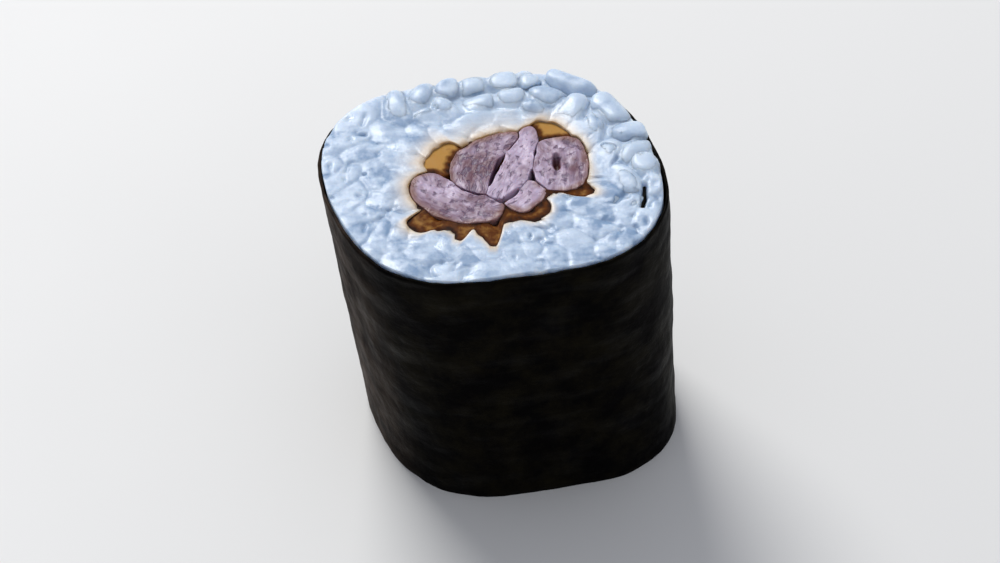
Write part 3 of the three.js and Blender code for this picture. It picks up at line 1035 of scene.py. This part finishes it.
def rice_core(ends, material):
    """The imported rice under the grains: a ring from bundle to sheet, with faces that drape over them."""
    bearing = np.arange(0, 360, CORE_STEP)
    way = around(bearing, 1)
    degrees = np.arange(0, 360, 0.5)
    edge_bearing, edge_reach = polar(around(degrees, rice_radius(degrees) - CORE_GAP) - BUNDLE)
    outer = np.interp(bearing, edge_bearing, edge_reach, period=360)
    inner = bundle_radius(bearing) + CORE_HOLE
    faces, tones = [], []
    for grains, rows in zip(ends, CORE_ROWS):
        reach = inner + (outer - inner) * np.linspace(0, 1, rows)[:, None]
        flat = BUNDLE + way * reach[..., None]
        points = np.column_stack((flat.reshape(-1, 2), np.zeros(reach.size)))
        depth, tone = starch_film(points, grains)
        end = grains.out[2]
        points[:, 2] = np.maximum(cut_height(points, end) - end * depth, CORE_FOOT)
        faces.append(points.reshape(rows, -1, 3))
        tones.append(tone.reshape(rows, -1))
    top, base = faces
    walls = []
    for start, stop, rows in ((top[-1], base[-1], CORE_WALLS[0]), (base[0], top[0], CORE_WALLS[1])):
        walls.append([start + (stop - start) * share for share in np.linspace(0, 1, rows)[1:-1]])
    rings = np.array([*top, *walls[0], *base[::-1], *walls[1]])
    plain = [np.full((len(wall), len(bearing)), WALL_TONE) for wall in walls]
    tone = np.concatenate((tones[0], plain[0], tones[1][::-1], plain[1]))
    mesh = mesh_through("rice_core", rings, ends="joined")
    straight = rings.reshape(-1, 3)
    # The tone carries painted shade along seams, in gaps and pits and over the smeared part.
    paint(mesh, "tone", tone.ravel())
    paint(mesh, "soak", soak_of(straight))
    move_points(mesh, leaned(straight))
    finished(new_object("rice_core", mesh), material, "rice", "rice")


def rice_grains(name, grains, draw, tree, material, segments):
    """The grains of one end that stand out of the smeared starch, as one mesh: placed by the tree, then
    pressed together, held in and cut."""
    end = grains.out[2]
    shown = grains.only((torn(grains.middle, end) > TORN_LEAST) & (from_tuck(grains.middle) > TUCK_ROOM))
    values = {"Material": material, "Segments": segments, "Rings": segments * 3 // 4}
    piece = made_by(tree, name, grain_points(name + "_points", shown), values)
    mesh = piece.data
    count = len(shown.middle)
    points = points_of(mesh).reshape(count, -1, 3) / MM
    points = held_in(pressed(points, shown, grains))
    flat = softened(sliced(points, shown, draw), mesh).reshape(-1, 3)
    high = flat.reshape(count, -1, 3)[..., 2] * end
    low, top = high.min(axis=1), high.max(axis=1)
    height = (high - low[:, None]) / (top - low)[:, None]
    # Tone: random for each grain and rising towards its top. Tops are glassier and lower sides paler: partly
    # the grain's glassy core, partly a painted highlight rim that lifts the shade on those sides.
    glassy = draw.uniform(-0.6, 0.3, count)[:, None] + 0.8 * height**3
    paint(mesh, "tone", glassy.ravel())
    paint(mesh, "soak", soak_of(flat))
    move_points(mesh, leaned(flat))
    smooth(mesh)
    finished(piece, material, "rice", "rice")


# ---- Mushroom ------------------------------------------------------------------------------------

EDGE_POINTS = 240
FACE_RINGS, WALL_RINGS = 40, 40  # on a slice's upper face and down its side
SPINE_SHARE = 0.8  # how much of its spine a slice's faces spread out from
SLICE_FOOT = 0.12  # above the floor
FLESH_RELIEF = ((0.06, 0.8, 5), (0.09, 2.6, 8), (0.03, 0.35, 1))  # depth, spacing and seed of its bumps
EDGE_ROUND = 0.1  # the cut edge of a slice, as a radius
CLOSE = 0.03  # between slices that are pressed together
# Where slices part: from, to, and how wide. First between the left and middle ones, then over the crescent.
SLITS = (
    ((1.2, 2.9), (-0.2, -1.3), 0.75),
    ((-2.6, -2.2), (0.7, -3.2), 0.2),
    ((0.2, -3.2), (2.5, -1.6), 0.8),
)
PIT, PIT_SIZE = (5.65, 1.45), (0.36, 0.85)  # a hole in the flesh of the right slice
PIT_EDGE, PIT_DEPTH = (0.5, 1.3), 0.9  # where its side begins and ends, as shares of its size
FAR_AWAY = np.array(((99.0, 99.0),))


def depth_inside(points, outline):
    """How far points lie inside a closed outline. Outside it, this is less than nothing."""
    away = outline[None] - points[:, None]
    ahead = np.roll(away, -1, axis=1)
    crossed = away[..., 0] * ahead[..., 1] - away[..., 1] * ahead[..., 0]
    turned = np.arctan2(crossed, (away * ahead).sum(axis=2)).sum(axis=1)
    return np.where(np.abs(turned) > 3, 1, -1) * np.linalg.norm(away, axis=2).min(axis=1)


def slice_outlines():
    return {name: across_slice(cut, *slice_edge(cut, EDGE_POINTS)) for name, cut in SLICES.items()}


def apart(flat):
    """The gap that is left between slices: narrow, but for the slits."""
    gap = np.full(len(flat), CLOSE)
    for start, stop, width in SLITS:
        run = np.subtract(stop, start)
        share = np.clip((flat - start) @ run / (run @ run), 0, 1)
        off = np.linalg.norm(flat - start - share[:, None] * run, axis=1)
        gap = np.maximum(gap, width * (1 - ease(0.1, 0.8, off)) * np.sin(np.pi * share) ** 0.5)
    return gap


def pit_share(flat):
    """How far points lie from the pit's middle: 1 at its rim."""
    return np.linalg.norm((flat - PIT) / PIT_SIZE, axis=1)


def slice_face(flat, edge, level, end):
    """One ring of a slice's cut face, rounded down towards its edge and roughened by the flesh."""
    from_edge = np.linalg.norm(flat[:, None] - edge[None], axis=2).min(axis=1)
    short = np.clip(EDGE_ROUND - from_edge, 0, EDGE_ROUND)
    fall = EDGE_ROUND - np.sqrt(EDGE_ROUND**2 - short**2)
    place = np.column_stack((flat, np.zeros(len(flat))))
    relief = sum(depth * unevenness(place, spacing, seed) for depth, spacing, seed in FLESH_RELIEF)
    relief *= 1 if end > 0 else 0.5
    from_pit = pit_share(flat) + 0.25 * unevenness(place, 0.5, 2)
    sunk = PIT_DEPTH * (1 - ease(*PIT_EDGE, from_pit)) if end > 0 else 0
    return np.column_stack((flat, level + end * (relief - fall - sunk)))


def mushroom_slice(name, outlines, material):
    """One slice that runs through the roll: two cut faces with rounded edges, and the wall between them."""
    cut = SLICES[name]
    along, aside = slice_edge(cut, EDGE_POINTS)
    spine = through(cut["spine"], (SPINE_SHARE * along + 1) / 2)
    own = outlines[name]
    others = [outline for each, outline in outlines.items() if each != name]
    edge = own
    for other in others:
        edge = drawn_in(edge, spine, lambda p: depth_inside(p, other) + apart(p) > depth_inside(p, own))
    shares = np.sin(np.linspace(0.04, np.pi / 2, FACE_RINGS))
    top = [slice_face(spine + (edge - spine) * s, edge, cut["top"], 1) for s in shares]
    base = [slice_face(spine + (edge - spine) * s, edge, SLICE_FOOT, -1) for s in shares[::3]]
    down = np.linspace(0, 1, WALL_RINGS)[1:-1, None, None]
    wall = top[-1] + (base[-1] - top[-1]) * down
    rings = np.concatenate((top, wall, base[::-1]))
    scale = np.concatenate((shares, np.ones(len(wall)), shares[::3][::-1]))[:, None]
    flat = rings.reshape(-1, 3)
    swollen = unevenness(flat, 1.3, 2) + 0.4 * unevenness(flat, 0.5, 4)
    away = (edge - spine) / np.maximum(np.linalg.norm(edge - spine, axis=1), 0.5)[:, None]
    rings[..., :2] += away * (0.13 * swollen.reshape(rings.shape[:2]) * scale**4)[..., None]
    mesh = mesh_through(name.replace("shiitake", "slice"), rings)
    straight = points_of(mesh)
    ragged = 0.22 * unevenness(straight, 0.7, 11)
    open_edge = edge[np.max([depth_inside(edge, other) for other in others], axis=0) < -0.5]
    skin_edge = own[aside * cut["skin_side"] > 0] if cut["skin_side"] else FAR_AWAY
    for label, line, width, share in (("skin", skin_edge, 0.75, 0.6), ("rim", open_edge, 0.7, 1)):
        from_line = np.linalg.norm(straight[:, None, :2] - line[None], axis=2).min(axis=1)
        paint(mesh, label, share * (1 - ease(0.05, width, from_line + ragged)))
    # The pit's mask, which the material fills with painted shade.
    pit = 1 - ease(*PIT_EDGE, pit_share(straight[:, :2]))
    paint(mesh, "pit", pit if name == "shiitake_right" else 0 * pit)
    run = np.linalg.norm(np.diff(np.array(cut["spine"]), axis=0), axis=1).sum() / 2
    places = np.stack((SPINE_SHARE * along * run + 0 * scale, aside * scale), axis=-1).reshape(-1, 2)
    first, last = cut["tone"]
    dense = first + (last - first) * np.tile((1 + along) / 2, len(rings))
    paint(mesh, "tone", dense + 0.5 * unevenness(straight, 3.0, 17))
    paint(mesh, "on_slice", np.column_stack((places, straight[:, 2])) * MM)
    move_points(mesh, leaned(straight))
    finished(new_object(mesh.name, mesh), material, "mushroom", name)


def simmered_shiitake(look):
    """Dried shiitake, soaked and simmered in soy and sugar, then cut. The flesh is mauve grey, dense and
    springy, with fine fibres along each slice and a wet sheen. The cap's skin is brown, and the rim has taken
    up more liquor."""
    material, tree, shader = new_material("simmered_shiitake")
    place = node(tree, "ShaderNodeAttribute", attribute_name="on_slice").outputs["Vector"]
    skin, rim, pit, tone = (
        node(tree, "ShaderNodeAttribute", attribute_name=name).outputs["Fac"]
        for name in ("skin", "rim", "pit", "tone")
    )
    # Fibres of the flesh, about 0.5 mm apart.
    drawn = node(tree, "ShaderNodeMapping", {"Vector": place, "Scale": (0.7, 2.4, 1.0)})
    fibrous = {"Vector": drawn, "Scale": 800.0, "Detail": 3.0, "Roughness": 0.55}
    fibre = node(tree, "ShaderNodeTexNoise", fibrous)
    # Paler and denser patches, about 1.4 mm across.
    patchy = {"Vector": place, "Scale": 700.0, "Detail": 5.0, "Distortion": 0.3}
    patch = node(tree, "ShaderNodeTexNoise", patchy)
    grained = node(tree, "ShaderNodeMath", {0: fibre, 1: 0.4, 2: -0.2}, operation="MULTIPLY_ADD")
    denser = node(tree, "ShaderNodeMath", {0: tone, 1: 0.35, 2: grained}, operation="MULTIPLY_ADD")
    dense = node(tree, "ShaderNodeMath", {0: patch, 1: 1.4, 2: denser}, operation="MULTIPLY_ADD")
    darkened = node(tree, "ShaderNodeMapRange", {"Value": dense, "From Min": 0.6, "From Max": 1.1})
    # Pores where the flesh has soaked through, up to about 0.6 mm across.
    porous = {"Vector": place, "Scale": 1500.0, "Detail": 2.0, "Distortion": 0.4}
    pores = node(tree, "ShaderNodeTexNoise", porous)
    riddled = node(tree, "ShaderNodeMath", {0: tone, 1: 0.06, 2: pores}, operation="MULTIPLY_ADD")
    through_it = {"From Min": 0.55, "From Max": 0.66, "To Max": 0.85}
    soaked = node(tree, "ShaderNodeMapRange", {"Value": riddled, **through_it})
    part_rim = node(tree, "ShaderNodeMath", {0: rim, 1: patch}, operation="MULTIPLY")
    layers = (
        (darkened, look.flesh_dark),
        (soaked, look.pores),
        (part_rim, look.flesh_rim),
        (skin, look.skin),
        # Painted shade inside the pit.
        (pit, look.painted_pit_shade),
    )
    shown = (*look.flesh, 1)
    for share, tint in layers:
        layer = {0: share, 6: shown, 7: (*tint, 1)}
        shown = node(tree, "ShaderNodeMix", layer, data_type="RGBA").outputs[2]
    moist = {"From Min": 0.3, "From Max": 0.7, "To Min": 0.3, "To Max": 0.5}
    wet = node(tree, "ShaderNodeMapRange", {"Value": patch, **moist})
    ribs = node(tree, "ShaderNodeBump", {"Height": fibre, "Strength": 0.5, "Distance": 0.00016})
    pitted = {"Height": soaked, "Strength": 0.6, "Distance": 0.0001, "Normal": ribs}
    holes = node(tree, "ShaderNodeBump", pitted, invert=True)
    sockets = {
        "Base Color": shown,
        "Roughness": wet,
        "IOR": 1.4,
        "Subsurface Weight": 0.35,
        "Subsurface Radius": (1.0, 0.6, 0.5),
        "Subsurface Scale": 0.9 * MM,
        "Normal": holes,
    }
    connect(tree, shader, sockets)
    return material


# ---- Simmering liquor ----------------------------------------------------------------------------

LIQUOR_PAST = 0.8  # how far the liquor runs out between the grains round the bundle
LIQUOR_SLITS = 1.2  # how deep it stands in the slits between the slices
LIQUOR_RINGS = 60
LIQUOR_THICKNESS = 0.4  # of the film
LIQUOR_BASE = 1.8  # how many times as deep its surface lies at the lower cut


def simmering_liquor(look):
    """Soy, sugar and mushroom broth, simmered down to a syrup. Brown like treacle, amber where it is thin,
    with a smooth face."""
    material, tree, shader = new_material("simmering_liquor")
    deep = node(tree, "ShaderNodeAttribute", attribute_name="deep").outputs["Fac"]
    place = node(tree, "ShaderNodeTexCoord").outputs["Object"]
    # Bits of mushroom and starch in the syrup, about 0.7 mm across.
    bits = node(tree, "ShaderNodeTexNoise", {"Vector": place, "Scale": 1400.0, "Detail": 4.0})
    uneven = node(tree, "ShaderNodeMath", {0: bits, 1: 1.0, 2: -0.5}, operation="MULTIPLY_ADD")
    depth = node(tree, "ShaderNodeMath", {0: deep, 1: uneven}, operation="ADD", use_clamp=True)
    pooled = node(tree, "ShaderNodeMapRange", {"Value": depth, "From Min": 0.1, "From Max": 0.6})
    deepest = node(tree, "ShaderNodeMapRange", {"Value": depth, "From Min": 0.6, "From Max": 1.0})
    shown = (*look.amber, 1)
    for share, tint in ((pooled, look.brown), (deepest, look.dark)):
        layer = {0: share, 6: shown, 7: (*tint, 1)}
        shown = node(tree, "ShaderNodeMix", layer, data_type="RGBA").outputs[2]
    slick = {"From Min": 0.35, "From Max": 0.7, "To Min": 0.2, "To Max": 0.35}
    face = node(tree, "ShaderNodeMapRange", {"Value": bits, **slick})
    ripple = node(tree, "ShaderNodeBump", {"Height": bits, "Strength": 0.2, "Distance": 0.0001})
    sockets = {
        "Base Color": shown,
        "Roughness": face,
        "IOR": 1.42,
        "Subsurface Weight": 0.2,
        "Subsurface Radius": (1.0, 0.5, 0.25),
        "Subsurface Scale": 1.0 * MM,
        "Specular IOR Level": 0.04,
        "Normal": ripple,
    }
    connect(tree, shader, sockets)
    return material


def liquor_film(name, end, depth, outlines, material):
    """The liquor's face at one cut: a film from the bundle's middle out into the gaps between the grains."""
    bearing = np.arange(0, 360, 1.5)
    way = around(bearing, 1)
    edge = bundle_radius(bearing) + LIQUOR_PAST
    slices = np.vstack([outline[::4] for outline in outlines.values()])
    rings, deeps = [], []
    for face in (0, 1):
        for share in np.linspace(0.02, 1, LIQUOR_RINGS)[:: 1 - 2 * face]:
            flat = BUNDLE + way * (edge * share)[:, None]
            inside = edge * (1 - share) - LIQUOR_PAST
            points = np.column_stack((flat, np.zeros(len(flat))))
            slit = ease(2.4, 3.6, inside + 0.4 * unevenness(points, 1.3, 12))
            slit = np.maximum(slit, 1 - ease(1.2, 2.2, pit_share(flat)))
            under = depth / MM + (LIQUOR_SLITS - depth / MM) * slit + 0.04 * unevenness(points, 1.7, 14)
            front = ease(-1.5, 2.5, 0.8 * unevenness(points, 2.0, 13) - points[:, 1])
            from_slice = np.linalg.norm(flat[:, None] - slices[None], axis=2).min(axis=1)
            by_slice = 1 - ease(0.1, 1.0, from_slice)
            pooled = front * (1 - 0.5 * ease(0, 0.8, inside))
            deep = np.clip(np.maximum(np.maximum(pooled, 0.9 * by_slice), slit), 0, 1)
            under += 0.25 * ease(0.2, LIQUOR_PAST, -inside) + LIQUOR_THICKNESS * face
            points[:, 2] = max(end * HEIGHT, 0) - end * under
            rings.append(points)
            deeps.append(deep)
    mesh = mesh_through(name, rings)
    paint(mesh, "deep", np.ravel(deeps))
    move_points(mesh, leaned(points_of(mesh)))
    finished(new_object(name, mesh), material, "mushroom")


# ---- Operators -----------------------------------------------------------------------------------


class HOSOMAKI_OT_nori(bpy.types.Operator):
    """Winds the nori once round the roll, with its first edge tucked in and its last edge lapped over"""

    bl_idname = "hosomaki.nori"
    bl_label = "Nori"

    def execute(self, context):
        look = context.scene.hosomaki_nori
        values = {
            "Wrinkle Depth": look.wrinkle_depth,
            "Wrinkle Scale": 1 / look.wrinkle_spacing,
            "Crease Depth": look.crease_depth,
            "Edge Wander": look.edge_wander,
        }
        material = toasted_laver(look)
        piece = made_by(sheet_tree(), "nori_sheet", sheet_midline(), {**values, "Material": material})
        move_points(piece.data, leaned(lowered(piece.data)))
        smooth(piece.data)
        wall = piece.modifiers.new("Thickness", "SOLIDIFY")
        wall.thickness = NORI_THICKNESS * MM
        wall.offset = 0
        finished(piece, material, "nori", "nori")
        return {"FINISHED"}


class HOSOMAKI_OT_rice(bpy.types.Operator):
    """Packs the grains that show at both cuts, and the core of starch and hidden grains under them"""

    bl_idname = "hosomaki.rice"
    bl_label = "Rice"

    def execute(self, context):
        look = context.scene.hosomaki_rice
        material = cooked_rice(look)
        tree = grain_tree()
        ends = []
        for name, end, segments in (("rice_grains_top", 1, 12), ("rice_grains_base", -1, 8)):
            grains, draw = grains_at(end, look, look.seed + end)
            rice_grains(name, grains, draw, tree, material, segments)
            ends.append(grains)
        rice_core(ends, material)
        return {"FINISHED"}


class HOSOMAKI_OT_shiitake(bpy.types.Operator):
    """Lays the five mushroom slices through the middle of the roll"""

    bl_idname = "hosomaki.shiitake"
    bl_label = "Shiitake Slices"

    def execute(self, context):
        material = simmered_shiitake(context.scene.hosomaki_mushroom)
        outlines = slice_outlines()
        for name in SLICES:
            mushroom_slice(name, outlines, material)
        return {"FINISHED"}


class HOSOMAKI_OT_liquor(bpy.types.Operator):
    """Fills the gaps round the slices with simmering liquor, a little under each cut"""

    bl_idname = "hosomaki.liquor"
    bl_label = "Simmering Liquor"

    def execute(self, context):
        look = context.scene.hosomaki_liquor
        material = simmering_liquor(look)
        outlines = slice_outlines()
        liquor_film("liquor_top", 1, look.depth, outlines, material)
        liquor_film("liquor_base", -1, look.depth * LIQUOR_BASE, outlines, material)
        return {"FINISHED"}


TABLE_REACH = 1.2  # metres from the middle of the table to its sides
WINDOW_AT, WINDOW_SIZE = (-0.2, 0.47, 0.49), 0.35  # metres from the cut
ROOM_AT, ROOM_SIZE = (0.25, -0.5, 0.45), 0.6


def lamp(name, place, target, size, power):
    light = bpy.data.lights.new(name, "AREA")
    light.shape = "DISK"
    light.size = size
    light.energy = power
    lit = new_object(name, light)
    lit.location = place
    lit.rotation_euler = (Vector(target) - Vector(place)).to_track_quat("-Z", "Y").to_euler()


class HOSOMAKI_OT_stage(bpy.types.Operator):
    """Sets out the pale floor, the soft light from a window behind, and the camera"""

    bl_idname = "hosomaki.stage"
    bl_label = "Table, Light and Camera"

    def execute(self, context):
        look = context.scene.hosomaki_stage
        mesh = bpy.data.meshes.new("table")
        corners = [(x * TABLE_REACH, y * TABLE_REACH, 0) for x, y in ((-1, -1), (1, -1), (1, 1), (-1, 1))]
        mesh.from_pydata(corners, [], [(0, 1, 2, 3)])
        mesh.materials.append(pale_table(look))
        new_object("table", mesh)

        middle = Vector(leaned((0, 0, HEIGHT)))
        lamp("window", middle + Vector(WINDOW_AT), middle, WINDOW_SIZE, look.key)
        lamp("room", middle + Vector(ROOM_AT), middle, ROOM_SIZE, look.fill)
        world = bpy.data.worlds.new("soft_room")
        world.use_nodes = True
        sky = {"Color": (*look.sky_colour, 1), "Strength": look.sky}
        connect(world.node_tree, world.node_tree.nodes["Background"], sky)
        context.scene.world = world
        context.scene.view_settings.view_transform = "Standard"

        ahead = Vector((0, math.cos(look.elevation), -math.sin(look.elevation)))
        right = Vector((1, 0, 0))
        up = Vector((0, math.sin(look.elevation), math.cos(look.elevation)))
        across = right * math.cos(look.tilt) - up * math.sin(look.tilt)
        upward = right * math.sin(look.tilt) + up * math.cos(look.tilt)
        aim = middle + across * look.aside - upward * look.drop
        lens = bpy.data.cameras.new("camera")
        lens.sensor_width = 36
        lens.lens = lens.sensor_width * look.distance / look.view_width
        lens.clip_end = 10
        camera = new_object("camera", lens)
        turn = Matrix((across, upward, -ahead)).transposed().to_4x4()
        camera.matrix_world = Matrix.Translation(aim - ahead * look.distance) @ turn
        context.scene.camera = camera
        return {"FINISHED"}


def pale_table(look):
    """A plain pale table: nearly white, smooth, with the faintest unevenness."""
    material, tree, shader = new_material("glazed_white")
    place = node(tree, "ShaderNodeTexCoord").outputs["Object"]
    glaze = node(tree, "ShaderNodeTexNoise", {"Vector": place, "Scale": 30.0, "Detail": 2.0})
    face = node(tree, "ShaderNodeMapRange", {"Value": glaze, "To Min": 0.5, "To Max": 0.6})
    connect(tree, shader, {"Base Color": (*look.floor, 1), "Roughness": face})
    return material


class HOSOMAKI_PT_panel(bpy.types.Panel):
    """Lists the steps that make the piece, with their settings"""

    bl_idname = "HOSOMAKI_PT_panel"
    bl_label = "Hosomaki"
    bl_space_type = "VIEW_3D"
    bl_region_type = "UI"
    bl_category = "Hosomaki"

    def draw(self, context):
        for step, settings in STEPS:
            box = self.layout.box()
            box.operator(step.bl_idname)
            look = getattr(context.scene, settings)
            for name in look.__annotations__:
                box.prop(look, name)


STEPS = (
    (HOSOMAKI_OT_stage, "hosomaki_stage"),
    (HOSOMAKI_OT_nori, "hosomaki_nori"),
    (HOSOMAKI_OT_rice, "hosomaki_rice"),
    (HOSOMAKI_OT_shiitake, "hosomaki_mushroom"),
    (HOSOMAKI_OT_liquor, "hosomaki_liquor"),
)
SETTINGS = {
    "hosomaki_nori": NoriSettings,
    "hosomaki_rice": RiceSettings,
    "hosomaki_mushroom": MushroomSettings,
    "hosomaki_liquor": LiquorSettings,
    "hosomaki_stage": StageSettings,
}
CLASSES = (*SETTINGS.values(), *(step for step, _ in STEPS), HOSOMAKI_PT_panel)


def register():
    for each in CLASSES:
        bpy.utils.register_class(each)
    for name, settings in SETTINGS.items():
        setattr(bpy.types.Scene, name, PointerProperty(type=settings))


def unregister():
    for name in SETTINGS:
        delattr(bpy.types.Scene, name)
    for each in reversed(CLASSES):
        bpy.utils.unregister_class(each)


def main():
    register()
    bpy.ops.hosomaki.stage()
    bpy.ops.hosomaki.nori()
    bpy.ops.hosomaki.rice()
    bpy.ops.hosomaki.shiitake()
    bpy.ops.hosomaki.liquor()


if __name__ == "__main__":
    main()
